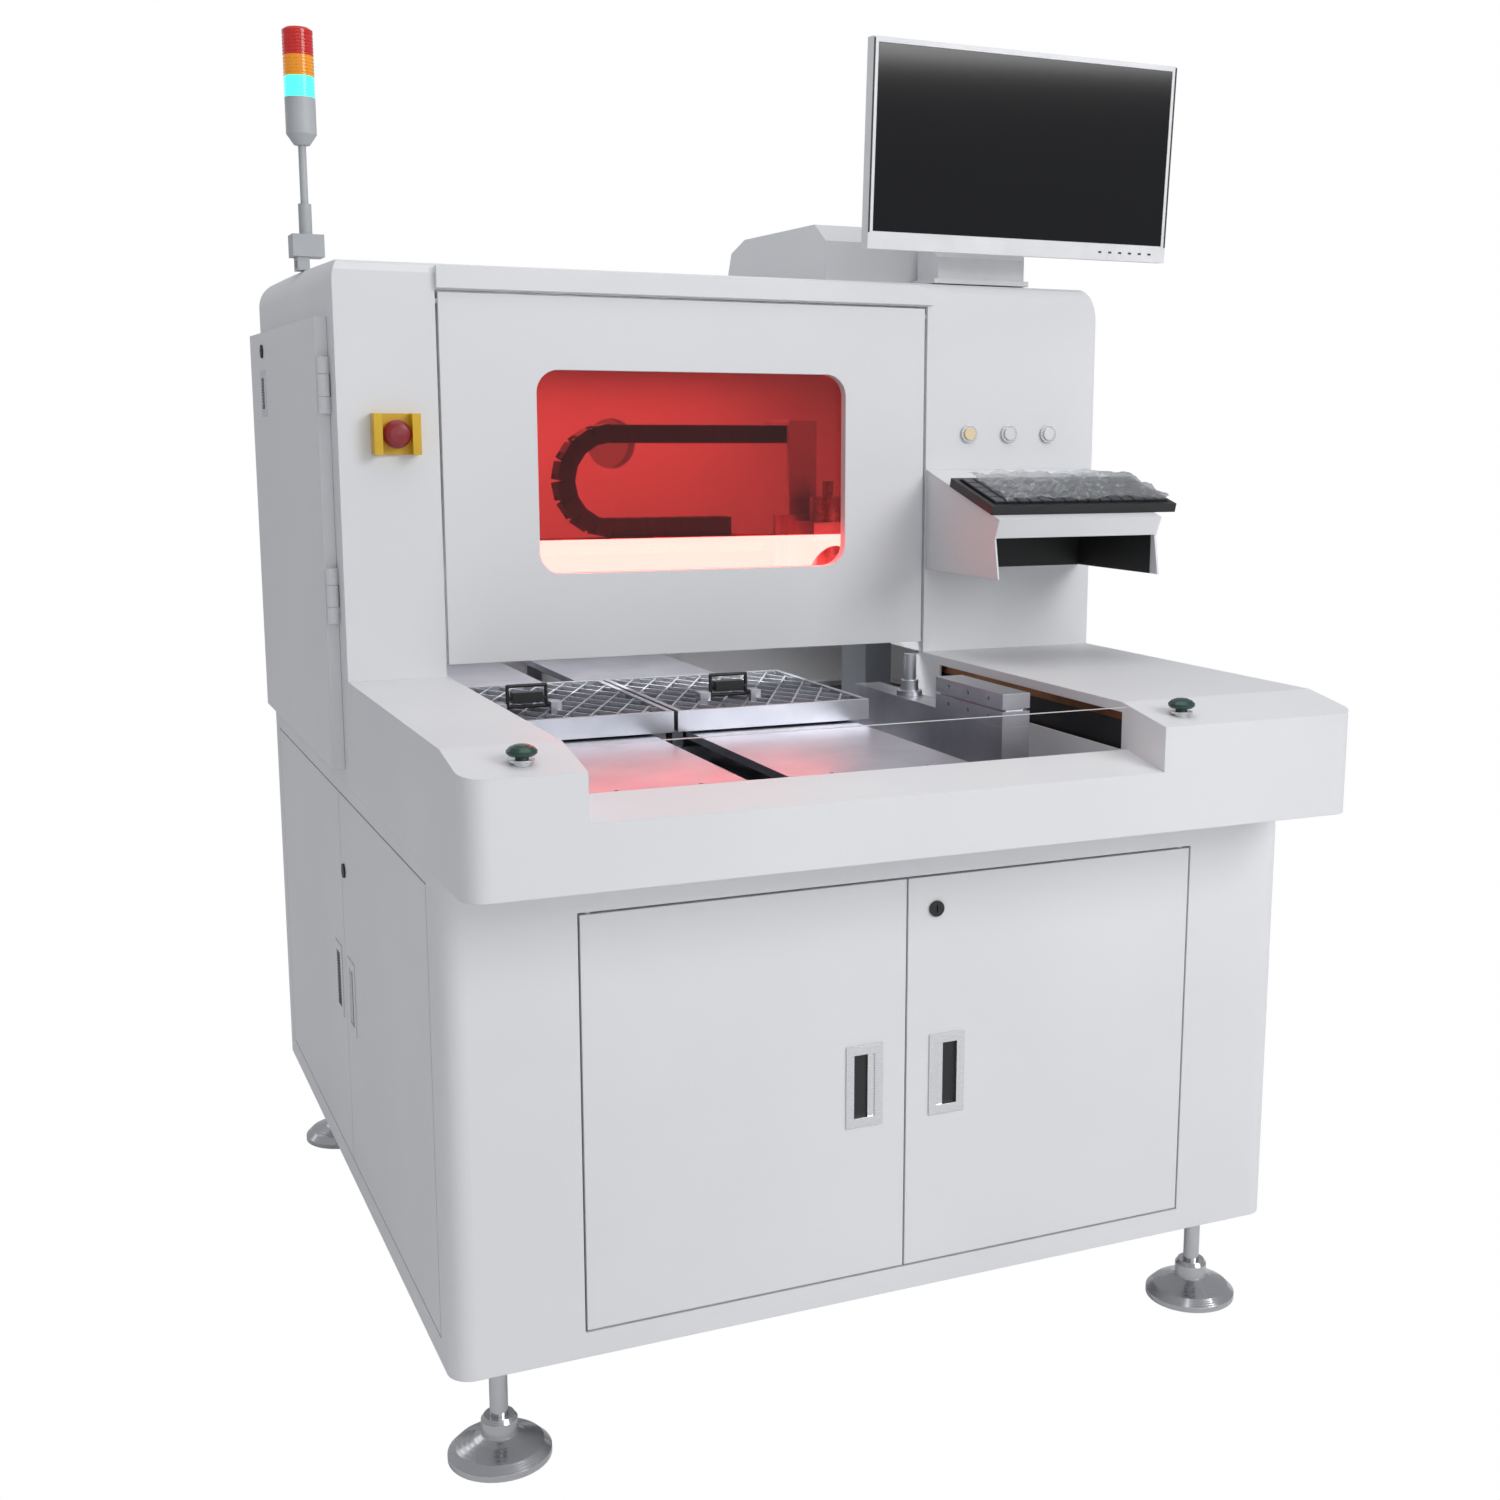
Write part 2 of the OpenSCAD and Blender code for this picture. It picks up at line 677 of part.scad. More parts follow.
module back_panels() color(WHITE) machine() {
    box([130, machine_d + 0.3, base_z + 40], [machine_w - 260, 2, 560]);
    for (x = [150, machine_w - 150], z = [base_z + 50, base_z + 590])
        rod_y([x, machine_d + 0.3, z], 5, 4);
}

module exhaust_spigot() color(STEEL) machine() difference() {
    union() {
        box([spigot_x - 65, hood_y1 + 0.3, spigot_z - 65], [130, 2.7, 130]);
        rod_y([spigot_x, hood_y1 + 1, spigot_z], spigot_r, hood_inset - 1);
    }
    rod_y([spigot_x, hood_y1 - 1, spigot_z], spigot_r - 2, hood_inset + 5);
}

module electrics() color(SILVER) machine() {
    box([200, frame_y1 - tube - 8, 200], [750, 7.7, 565]);
    for (i = [0 : 3]) box([230 + i * 75, frame_y1 - tube - 8.3 - 130, 520], [60, 130, 160]);
    box([560, frame_y1 - tube - 8.3 - 110, 500], [140, 110, 190]);
    box([730, frame_y1 - tube - 8.3 - 120, 480], [190, 120, 200]);
    for (i = [0 : 5]) box([240 + i * 100, frame_y1 - tube - 8.3 - 70, 330], [70, 70, 90]);
}

module estop_shroud() color([0.95, 0.8, 0.1]) machine() translate([stop_x, hood_y - 0.3, 1322])
    difference() {
        union() {
            translate([-stop_w / 2, -6, -stop_h / 2]) cube([stop_w, 6, stop_h]);
            translate([-stop_w / 2, -26, -stop_h / 2]) cube([12, 21, stop_h]);
            translate([stop_w / 2 - 12, -26, -stop_h / 2]) cube([12, 21, stop_h]);
            rod_y([0, -6, 0], button_hole - 0.2, 26);
        }
        rod_y([0, -30, 0], 8 + fit, 60);
        rod_y([0, -40, 0], stop_r + 1, 34);
    }

module bezel_at(x) translate([x, hood_y - 0.3, button_z]) difference() {
    union() {
        rod_y([0, -4, 0], 14.5, 4);
        rod_y([0, -1, 0], button_hole - 0.2, 34);
    }
    rod_y([0, -5, 0], button_r + fit, 34);
    rod_y([0, 20, 0], 5, 20);
}

module start_collar(x) translate([x, start_y, 0]) difference() {
    union() {
        translate([0, 0, start_z - 34]) cylinder(r = button_hole - 0.2, h = 36);
        translate([0, 0, start_z + 0.3]) cylinder(r = 15, h = 3);
    }
    translate([0, 0, start_z - 30]) cylinder(r = 8 + fit, h = 60);
}

module button_bezels() color(STEEL) machine() {
    for (x = button_x) bezel_at(x);
    for (x = start_x) start_collar(x);
}

module keyboard_tray() color(WHITE) machine() difference() {
    along_x(tray_x, tray_w) polygon([[hood_y - 0.3, tray_back_z], [tray_front_y, tray_front_z],
        [tray_front_y + 14, 1167], [tray_front_y + 2, tray_low + 1], [hood_y - 0.3, tray_low]]);
    along_x(tray_x + sheet, tray_w - 2 * sheet) polygon([[hood_y - 0.3 - sheet, tray_back_z - 5],
        [tray_front_y + 4, tray_front_z - 4], [tray_front_y + 17, 1167],
        [tray_front_y + 5, tray_low - 5], [hood_y - 0.3 - sheet, tray_low - 5]]);
    box([tray_x + sheet, tray_front_y - 30, tray_low - 10], [tray_w - 2 * sheet, 60, 73]);
    rod_x([tray_x + tray_w - 10, 620, 1160], 14, 20);
}

module keyboard() color(DARK) machine() translate([tray_x - 3, tray_front_y + 20, 0])
    translate([0, 0, tray_front_z + 20 * tan(tray_tilt) + 0.3]) rotate([tray_tilt, 0, 0]) {
        difference() {
            cube([keyboard_w, 141, 14]);
            translate([8, 10, 9]) cube([keyboard_w - 16, 121, 6]);
        }
        for (j = [0 : 4], i = [0 : 14])
            translate([10 + i * (keyboard_w - 20) / 15 + 0.6, 12 + j * 23.4, 8.9])
                cube([(keyboard_w - 20) / 15 - 1.6, 22, 8]);
    }

module monitor_stand() color(DARK) machine() {
    box([955, hood_y + 20, hood_top(hood_y + 100) + 0.2], [175, 80, 8]);
    along_x(963, 160) polygon([[hood_y + 24, hood_z + 9], [hood_y + 96, hood_z + 9],
        [hood_y + 96, hood_z + 56], [hood_y + 44, hood_z + 56], [hood_y + 24, hood_z + 44]]);
    box([monitor_x - 30, hood_y + 60, hood_z + 50], [60, 22, pivot_z - hood_z - 22]);
    for (x = [-30, 14]) difference() {
        union() {
            box([monitor_x + x, pivot_y, pivot_z - 16], [16, hood_y + 70 - pivot_y, 32]);
            rod_x([monitor_x + x, pivot_y, pivot_z], 16, 16);
        }
        rod_x([monitor_x + x - 1, pivot_y, pivot_z], 5.2, 18);
    }
    rod_x([monitor_x - 30, pivot_y, pivot_z], 5, 60);
}

module monitor() color(DARK) machine() {
    difference() {
        rod_x([monitor_x - 13.5, pivot_y, pivot_z], 14, 27);
        rod_x([monitor_x - 20, pivot_y, pivot_z], 5 + fit, 40);
    }
    translate([monitor_x, pivot_y, pivot_z]) rotate([-monitor_tilt, 0, 0])
        translate([-monitor_w / 2, monitor_y - pivot_y, monitor_z - pivot_z]) {
            difference() {
                cube([monitor_w, 22, monitor_h]);
                translate([8, -1, 26]) cube([monitor_w - 16, 3, monitor_h - 34]);
            }
            translate([60, 22 - EPS, 40]) cube([monitor_w - 120, monitor_t - 22, monitor_h - 90]);
            translate([monitor_w / 2 - 11, monitor_t - 1, pivot_z - monitor_z - 9])
                cube([22, pivot_y - monitor_y - monitor_t - 8, 18]);
            translate([monitor_w / 2 - 50, monitor_t - 1, pivot_z - monitor_z - 50])
                cube([100, 5, 100]);
        }
}

module tower_pole() color(SILVER) machine() translate([tower_x, tower_y, 0]) {
    translate([0, 0, hood_top(tower_y + 20) + 0.3]) difference() {
        translate([-17, -20, 0]) cube([18, 40, 24]);
        translate([-20, -8, 4]) cube([30, 16, 12]);
    }
    translate([-24, -24, block_low]) cube([48, 48, 34]);
    translate([-17, -17, hood_top(tower_y) + 16]) cube([18, 34, block_low - hood_top(tower_y) - 16 + 1]);
    translate([0, 0, block_low + 33]) cylinder(r = 10, h = 48);
    translate([0, 0, block_low + 80]) cylinder(r = 6, h = tower_z - block_low - 78);
    translate([0, 0, tower_z - 4]) rotate_extrude() polygon([[0, 0], [12, 0], [lens_r, 16],
        [lens_r, tower_body_h], [0, tower_body_h]]);
    translate([0, 0, tower_z + tower_body_h - 4.3]) cylinder(r = 5, h = 3 * lens_h - 5);
}

module lens_at(i) machine() translate([tower_x, tower_y, tower_z + tower_body_h - 4 + 0.3
    + i * lens_h]) difference() {
        union() {
            cylinder(r = lens_r - 1, h = lens_h - 0.3);
            for (z = [0 : 5 : lens_h - 4]) translate([0, 0, z]) cylinder(r = lens_r, h = 2.5);
            if (i == 2) translate([0, 0, lens_h - 0.3 - EPS]) rotate_extrude()
                polygon([[0, 0], [lens_r, 0], [lens_r, 6], [lens_r - 6, 10], [0, 10]]);
        }
        translate([0, 0, -1]) cylinder(r = 5.3, h = i < 2 ? lens_h + 3 : lens_h - 3);
    }

module lens_green() color([0.1, 0.8, 0.3]) lens_at(0);
module lens_amber() color([0.95, 0.6, 0.1]) lens_at(1);
module lens_red() color([0.8, 0.1, 0.1]) lens_at(2);

module side_module() color(SILVER) machine() {
    box([module_x, module_y, bed_top], [module_w, module_l, module_z - bed_top]);
    for (z = [module_z + 0.3, module_z + 25.6]) difference() {
        box([module_x, module_y, z], [module_w, module_block_l, 21.7]);
        for (y = [40 : 60 : module_block_l]) rod_x([module_x - 1, module_y + y, z + 11], 3, 5);
    }
    box([module_x + 8, module_y + 5, module_z + 21], [module_w - 16, module_block_l - 10, 5]);
    translate([module_x + module_w / 2, post_y, module_z + 0.3]) {
        cylinder(r = 20, h = 8);
        cylinder(r = 14, h = 24);
        cylinder(r = 9, h = post_h);
    }
    box([notch_x1 + sheet + 8, bed_y0 + 20, bed_top], [30, slot_y1 - bed_y0 - 30, 125]);
    box([notch_x1 + sheet + 4.7, bed_y0 + 20, slot_z0 + 40], [3, slot_y1 - bed_y0 - 30, 10]);
}

module block(x, y) difference() {
    translate([x - block_w / 2, y, block_z]) cube([block_w, block_l, sled_z - block_z + EPS]);
    translate([x - rail_w / 2 - slide_gap, y - 1, bed_top - 1])
        cube([rail_w + 2 * slide_gap, block_l + 2, rail_h + 1 + slide_gap]);
}

module table_at(tx, neck) machine() {
    difference() {
        union() {
            box([tx + 8, table_y + 20, sled_z], [table_w - 16, table_l - 40, sled_t]);
            for (dx = [rail_off, table_w - rail_off], y = [table_y + 25, table_y + table_l - 85])
                block(tx + dx, y);
            box([tx + table_w / 2 - 24, table_y + 150, bed_top + 6], [48, 40, sled_z - bed_top - 5]);
            box([tx + neck_in, table_y + 30, sled_z], [neck[0], table_l - 60, fixture_z - sled_z]);
            box([tx + table_w - neck_in - neck[1], table_y + 30, sled_z],
                [neck[1], table_l - 60, fixture_z - sled_z]);
        }
        rod_y([tx + table_w / 2, table_y + 140, screw_z], screw_r + fit, 60);
    }
}

// Bars of one diagonal direction, clipped to the fixture window
module lattice(w, l) intersection() {
    square([w, l]);
    for (a = [1, -1]) translate([w / 2, l / 2]) rotate(a * 62)
        for (i = [-12 : 12]) translate([-400, i * rib_pitch - rib / 2]) square([800, rib]);
}

module fixture_at(tx) machine() translate([tx, table_y, fixture_z + 0.3]) {
    difference() {
        cube([table_w, table_l, fixture_t]);
        translate([8, 8, 5]) cube([table_w - 16, table_l - 16, fixture_t]);
    }
    translate([8, 8, 5 - EPS]) linear_extrude(fixture_t - 7) lattice(table_w - 16, table_l - 16);
    for (x = bail_span) translate([x - 8, 88, 5 - EPS]) difference() {
        cube([16, 24, fixture_t + 5]);
        translate([-1, 12, fixture_t - 1]) rotate([0, 90, 0])
            cylinder(r = bail_wire + fit, h = 18);
    }
}

// Wire bail with its black grip block, pivoting in two lugs
module bail_at(tx) machine() translate([tx, table_y + 100, fixture_z + 0.3 + fixture_t + 4]) {
    translate([bail_span[0] - 7, 0, 0]) rotate([0, 90, 0])
        cylinder(r = bail_wire, h = bail_span[1] - bail_span[0] + 14);
    for (x = [bail_span[0] + 12, bail_span[1] - 12]) {
        translate([x, 0, 0]) cylinder(r = bail_wire, h = bail_h);
        translate([x, 0, bail_h]) sphere(bail_wire);
    }
    translate([bail_span[0] + 12, 0, bail_h]) rotate([0, 90, 0])
        cylinder(r = bail_wire, h = bail_span[1] - bail_span[0] - 24);
    translate([(bail_span[0] + bail_span[1]) / 2 - 22, -8, 6]) cube([44, 16, 15]);
    translate([bail_span[0] + 12, 0, 12]) rotate([0, 90, 0])
        cylinder(r = bail_wire, h = bail_span[1] - bail_span[0] - 24);
}

module table_left() color(SILVER) table_at(left_x, left_neck);
module table_right() color(SILVER) table_at(right_x, right_neck);
module fixture_left() color(SILVER) fixture_at(left_x);
module fixture_right() color(SILVER) fixture_at(right_x);
module bail_left() color(DARK) bail_at(left_x);
module bail_right() color(DARK) bail_at(right_x);

module screw_at(tx) machine() {
    difference() {
        rod_y([tx + table_w / 2, screw_y0 - 4, screw_z], screw_r, screw_y1 - screw_y0 + 22);
        for (y = [screw_y0 + 30 : 60 : screw_y1 - 40]) box([tx + table_w / 2 - 1, y, screw_z + 6],
            [2, 30, 4]);
    }
}
module screw_left() color(STEEL) screw_at(left_x);
module screw_right() color(STEEL) screw_at(right_x);

module x_carriage() color(DARK) machine() {
    box([carriage_x, carriage_y, beam_z - beam_h - 12], [carriage_w, plate_t, beam_h + 50]);
    for (z = x_rail_z, x = [carriage_x + 5, carriage_x + carriage_w - 55]) difference() {
        box([x, carriage_y + plate_t - EPS, z - block_w / 2 + 2], [50, 31, block_w - 4]);
        box([x - 1, beam_y - x_rail_d - slide_gap, z - rail_w / 2 - slide_gap],
            [52, x_rail_d + 10, rail_w + 2 * slide_gap]);
    }
    for (x = z_rail_x) box([x - 6, carriage_y - 9, beam_z - beam_h - 12],
        [12, 9 + EPS, beam_h + 50]);
    box([carriage_x + 25, carriage_y, beam_z + 37], [50, plate_t, chain_top - beam_z - 37 + 8]);
    box([carriage_x + 25, carriage_y, chain_top + chain_swing], [50, chain_y + chain_w - carriage_y, 8 - chain_swing]);
}

module z_slide() color(SILVER) machine() {
    difference() {
        box([carriage_x + 12, carriage_y - 24, spindle_z + 50], [carriage_w - 24, 23, 130]);
        for (x = z_rail_x) box([x - 6 - slide_gap, carriage_y - 9 - slide_gap, spindle_z],
            [12 + 2 * slide_gap, 12, 300]);
    }
    difference() {
        for (z = [spindle_z + 60, spindle_z + 140])
            box([spindle_x - 42, spindle_y - 38, z], [84, carriage_y - 23 - spindle_y + 38, 30]);
        translate([spindle_x, spindle_y, spindle_z]) cylinder(r = spindle_r + 0.3, h = 300);
    }
}

module spindle() color(STEEL) machine() translate([spindle_x, spindle_y, spindle_z]) {
    difference() {
        union() {
            cylinder(r = spindle_r - 9, h = 20);
            translate([0, 0, 12]) cylinder(r = spindle_r, h = spindle_l - 12);
            translate([0, 0, spindle_l - EPS]) cylinder(r = 9, h = 26);
        }
        translate([0, 0, -1]) cylinder(r = 6 + fit, h = 61);
        translate([0, 0, 62]) cylinder(r = 4, h = spindle_l);
    }
}

module collet_nut() color(SILVER) machine() translate([spindle_x, spindle_y, spindle_z]) difference() {
    union() {
        translate([0, 0, -collet_h - nose_gap]) rotate_extrude()
            polygon([[0, 0], [7, 0], [10, 3], [10, collet_h], [0, collet_h]]);
        translate([0, 0, -nose_gap - EPS]) cylinder(r = 6, h = 59);
    }
    translate([0, 0, -collet_h - 2 - nose_gap]) cylinder(r = collet_r, h = 34);
    for (a = [0 : 90 : 270]) rotate(a) translate([9, -2, -collet_h + 2]) cube([3, 4, 8]);
}

// Front doors
module front_door_left() color(WHITE) machine()
    translate([door_x + door_gap, lip_reach, door_z + door_gap])
        leaf(leaf_w, leaf_h, leaf_w - pull_off, pull_z - door_z - door_gap, -1, 0);
module front_door_right() color(WHITE) machine()
    translate([door_x + door_w - door_gap, lip_reach, door_z + door_gap]) mirror([1, 0, 0])
        leaf(leaf_w, leaf_h, leaf_w - pull_off, pull_z - door_z - door_gap,
            leaf_w - lock_off, lock_z - door_z - door_gap);
module side_door_front() color(WHITE) machine() swap()
    translate([side_y + door_gap, 0, side_z + door_gap])
        leaf(side_leaf_w, side_leaf_h, side_leaf_w - side_pull_off, side_pull_z - side_z - door_gap,
            side_leaf_w - side_lock_off, side_lock_z - side_z - door_gap);
module side_door_rear() color(WHITE) machine() swap()
    translate([side_y + side_door_w - door_gap, 0, side_z + door_gap]) mirror([1, 0, 0])
        leaf(side_leaf_w, side_leaf_h, side_leaf_w - side_pull_off,
            side_pull_z - side_z - door_gap, -1, 0);

// Flush pulls
front_free_l = door_x + door_gap + leaf_w;
front_free_r = door_x + door_w - door_gap - leaf_w;
side_free_f = side_y + door_gap + side_leaf_w;
side_free_r = side_y + side_door_w - door_gap - side_leaf_w;
module front_pull_left() color(DARK) machine()
    translate([front_free_l - pull_off, lip_reach, pull_z]) flush_pull(cup_d);
module front_pull_right() color(DARK) machine()
    translate([front_free_r + pull_off, lip_reach, pull_z]) mirror([1, 0, 0]) flush_pull(cup_d);
module side_pull_front() color(DARK) machine() swap()
    translate([side_free_f - side_pull_off, 0, side_pull_z]) flush_pull(cup_d);
module side_pull_rear() color(DARK) machine() swap()
    translate([side_free_r + side_pull_off, 0, side_pull_z]) mirror([1, 0, 0]) flush_pull(cup_d);

// Cam locks
module lock_front() color(DARK) machine() translate([front_free_r + lock_off, lip_reach, lock_z])
    cam_lock(leaf_t + 1, lock_off + door_gap + 12);
module lock_side() color(DARK) machine() swap()
    translate([side_free_f - side_lock_off, 0, side_lock_z])
        cam_lock(leaf_t + 1, side_lock_off + door_gap + 14);

// Side door of the hood, laid over the wall and the deck skirt
module hood_side_door() color(WHITE) machine() swap() translate([hood_door_y, -side_proud, 0]) {
    difference() {
        translate([0, 0, hood_door_z]) difference() {
            cube([hood_door_l, side_proud - 0.3, hood_door_h]);
            translate([skin, skin, skin])
                cube([hood_door_l - 2 * skin, side_proud, hood_door_h - 2 * skin]);
        }
        translate([hood_lock_y - hood_door_y - cup_w / 2 - 0.3, -1, hood_pull_z - hood_cup_h / 2 - 0.3])
            cube([cup_w + 0.6, skin + 2, hood_cup_h + 0.6]);
        translate([hood_lock_y - hood_door_y, -1, hood_lock_z]) rotate([-90, 0, 0])
            cylinder(r = barrel_r + fit, h = 8);
    }
    for (z = hinge_z) difference() {
        union() {
            translate([hinge_y - hood_door_y, side_proud / 2, z - 15.7])
                cylinder(r = knuckle_r, h = 31.4);
            translate([hinge_y - hood_door_y, side_proud / 2 - 2, z - 15.7])
                cube([hood_door_y - hinge_y + 1, 4, 31.4]);
        }
        translate([hinge_y - hood_door_y, side_proud / 2, z - 20])
            cylinder(r = knuckle_r / 2 + fit, h = 40);
    }
    difference() {
        translate([hood_lock_y - hood_door_y, skin - EPS, hood_lock_z]) rotate([-90, 0, 0])
            cylinder(r = barrel_r + 4, h = 6);
        translate([hood_lock_y - hood_door_y, -1, hood_lock_z]) rotate([-90, 0, 0])
            cylinder(r = barrel_r + fit, h = 20);
    }
}

module hood_pull() color(DARK) machine() swap() translate([hood_lock_y, -side_proud, hood_pull_z])
    difference() {
        union() {
            translate([-pull_w / 2, -2, -hood_cup_h / 2 - 10]) cube([pull_w, 2, hood_cup_h + 20]);
            translate([-cup_w / 2, -EPS, -hood_cup_h / 2]) cube([cup_w, side_proud - 2, hood_cup_h]);
        }
        translate([-cup_w / 2 + 2, -3, -hood_cup_h / 2 + 2])
            cube([cup_w - 4, side_proud - 1, hood_cup_h - 4]);
    }

module lock_hood() color(DARK) machine() swap()
    translate([hood_lock_y, -side_proud, hood_lock_z]) mirror([0, 0, 1])
        rotate([0, -90, 0]) cam_lock(side_proud + sheet + 1, 36);

// Safety door and its window
module safety_door() color(WHITE) machine() difference() {
    box([panel_x, hood_y, panel_z], [panel_w, panel_t, panel_top - panel_z]);
    along_y(hood_y - 1, panel_t + 2) translate([window_x, window_z])
        round_rect(window_w, window_h, window_r);
    along_y(hood_y + panel_t - pane_t - 0.3, 20) translate([window_x - pane_lap - 0.3,
        window_z - pane_lap - 0.3]) round_rect(window_w + 2 * pane_lap + 0.6,
            window_h + 2 * pane_lap + 0.6, window_r + pane_lap);
    for (x = [panel_x - 1, panel_x + panel_w - pin_len - 2])
        rod_x([x, hood_y + pin_deep, panel_top - pin_in], pin_r + fit, pin_len + 3);
}
module window_pane() color([0.6, 0.05, 0.05, 0.5]) machine() along_y(hood_y + panel_t - pane_t, pane_t)
    translate([window_x - pane_lap, window_z - pane_lap])
        round_rect(window_w + 2 * pane_lap, window_h + 2 * pane_lap, window_r + pane_lap);

// Buttons
module estop_button() color([0.8, 0.08, 0.08]) machine() translate([stop_x, hood_y, 1322]) {
    rod_y([0, -20, 0], 8, 40);
    rotate([90, 0, 0]) translate([0, 0, 12.3]) rotate_extrude()
        polygon([[0, 0], [14, 0], [stop_r, 4], [stop_r, 10], [stop_r - 4, 15], [stop_r - 9, 17],
            [0, 18]]);
}

module panel_button(x) machine() translate([x, hood_y, button_z]) {
    rod_y([0, -7, 0], button_r, 30);
    rod_y([0, 20, 0], 5 - fit, 16);
}
module button_left() color([0.95, 0.9, 0.7]) panel_button(button_x[0]);
module button_middle() color(WHITE) panel_button(button_x[1]);
module button_right() color(WHITE) panel_button(button_x[2]);

module start_button(x) machine() translate([x, start_y, start_z]) {
    translate([0, 0, -24]) cylinder(r = 8, h = 34);
    translate([0, 0, 7.5]) rotate_extrude() polygon([[0, 0], [start_r - 3, 0], [start_r, 3],
        [start_r, 6], [start_r - 4, 10], [start_r - 10, 12.5], [0, 13.5]]);
}
module start_button_left() color([0.1, 0.6, 0.3]) start_button(start_x[0]);
module start_button_right() color([0.1, 0.6, 0.3]) start_button(start_x[1]);

base_cabinet();
base_frame();
levelling_feet();
deck_shell();
floor_covers();
machine_bed();
linear_rails();
axis_motors();
gantry_frame();
drag_chain();
hood_shell();
header_cover();
rear_cover();
back_panels();
exhaust_spigot();
electrics();
estop_shroud();
button_bezels();
keyboard_tray();
keyboard();
monitor_stand();
tower_pole();
lens_red();
lens_amber();
lens_green();
side_module();
table_left();
fixture_left();
bail_left();
table_right();
fixture_right();
bail_right();
screw_left();
screw_right();
x_carriage();
z_slide();
spindle();
collet_nut();
front_door_left();
front_door_right();
side_door_front();
side_door_rear();
front_pull_left();
front_pull_right();
side_pull_front();
side_pull_rear();
hood_side_door();
hood_pull();
safety_door();
window_pane();
estop_button();
start_button_left();
start_button_right();
button_left();
button_middle();
button_right();
lock_front();
lock_side();
lock_hood();
monitor();
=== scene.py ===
"""Twin-table board separating machine: looks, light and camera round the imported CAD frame."""
import bmesh
import bpy
import json
import math
import random
from mathutils import Matrix, Vector


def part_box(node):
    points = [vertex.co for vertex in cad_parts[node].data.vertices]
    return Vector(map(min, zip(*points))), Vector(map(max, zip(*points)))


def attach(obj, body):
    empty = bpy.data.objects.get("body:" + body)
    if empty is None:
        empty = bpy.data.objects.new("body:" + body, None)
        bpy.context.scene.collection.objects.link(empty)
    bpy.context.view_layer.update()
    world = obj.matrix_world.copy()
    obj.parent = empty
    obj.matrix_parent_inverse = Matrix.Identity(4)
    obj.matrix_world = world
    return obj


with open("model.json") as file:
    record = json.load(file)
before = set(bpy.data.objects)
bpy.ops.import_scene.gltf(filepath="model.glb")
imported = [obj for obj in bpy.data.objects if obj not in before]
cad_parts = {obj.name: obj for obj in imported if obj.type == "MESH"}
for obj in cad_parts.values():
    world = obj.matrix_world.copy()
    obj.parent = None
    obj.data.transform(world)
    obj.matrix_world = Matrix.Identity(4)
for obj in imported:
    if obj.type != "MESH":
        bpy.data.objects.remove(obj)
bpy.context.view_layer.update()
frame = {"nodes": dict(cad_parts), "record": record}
nodes = frame["nodes"]
MM = 0.001
SCENE = bpy.context.scene
COLLECTION = SCENE.collection


# ---------------------------------------------------------------- materials

def linear(hex_colour):
    """sRGB hex to linear RGBA."""
    parts = [int(hex_colour[i:i + 2], 16) / 255 for i in (1, 3, 5)]
    return [c / 12.92 if c <= 0.04045 else ((c + 0.055) / 1.055) ** 2.4 for c in parts] + [1.0]


def add(tree, kind, settings=None, inputs=None):
    """Adds one shader node, sets its properties and sets or links its inputs."""
    made = tree.nodes.new(kind)
    for key, value in (settings or {}).items():
        setattr(made, key, value)
    for key, value in (inputs or {}).items():
        if isinstance(value, bpy.types.NodeSocket):
            tree.links.new(value, made.inputs[key])
        else:
            made.inputs[key].default_value = value
    return made


def start(name, colour, roughness, metallic=0.0, **sockets):
    """A material with a Principled shader; returns the material, its tree and the shader."""
    made = bpy.data.materials.new(name)
    made.use_nodes = True
    tree = made.node_tree
    shader = tree.nodes["Principled BSDF"]
    shader.inputs["Base Color"].default_value = linear(colour)
    shader.inputs["Roughness"].default_value = roughness
    shader.inputs["Metallic"].default_value = metallic
    for key, value in sockets.items():
        shader.inputs[key.replace("_", " ")].default_value = value
    made.diffuse_color = linear(colour)
    return made, tree, shader


def mottle(tree, shader, colour, other, size_mm, detail=3.0):
    """Blends two colours of one material by noise of a real size."""
    place = add(tree, "ShaderNodeTexCoord")
    noise = add(tree, "ShaderNodeTexNoise", None, {
        "Vector": place.outputs["Object"], "Scale": 1000.0 / size_mm, "Detail": detail})
    ramp = add(tree, "ShaderNodeValToRGB", None, {"Fac": noise.outputs["Fac"]})
    ramp.color_ramp.elements[0].position = 0.35
    ramp.color_ramp.elements[0].color = linear(colour)
    ramp.color_ramp.elements[1].position = 0.68
    ramp.color_ramp.elements[1].color = linear(other)
    tree.links.new(ramp.outputs["Color"], shader.inputs["Base Color"])
    return place, noise, ramp


def rough_range(tree, shader, fac, low, high):
    """Roughness that follows a pattern between two values."""
    spread = add(tree, "ShaderNodeMapRange", None, {"Value": fac, "To Min": low, "To Max": high})
    tree.links.new(spread.outputs["Result"], shader.inputs["Roughness"])


def relief(tree, shader, height, depth_mm, strength=1.0, edge_mm=0.0):
    """Bump of a real depth, over edges rounded by the paint or the mould."""
    bump = add(tree, "ShaderNodeBump", None, {
        "Height": height, "Distance": depth_mm * MM, "Strength": strength})
    if edge_mm:
        edge = add(tree, "ShaderNodeBevel", {"samples": 4}, {"Radius": edge_mm * MM})
        tree.links.new(edge.outputs["Normal"], bump.inputs["Normal"])
    tree.links.new(bump.outputs["Normal"], shader.inputs["Normal"])


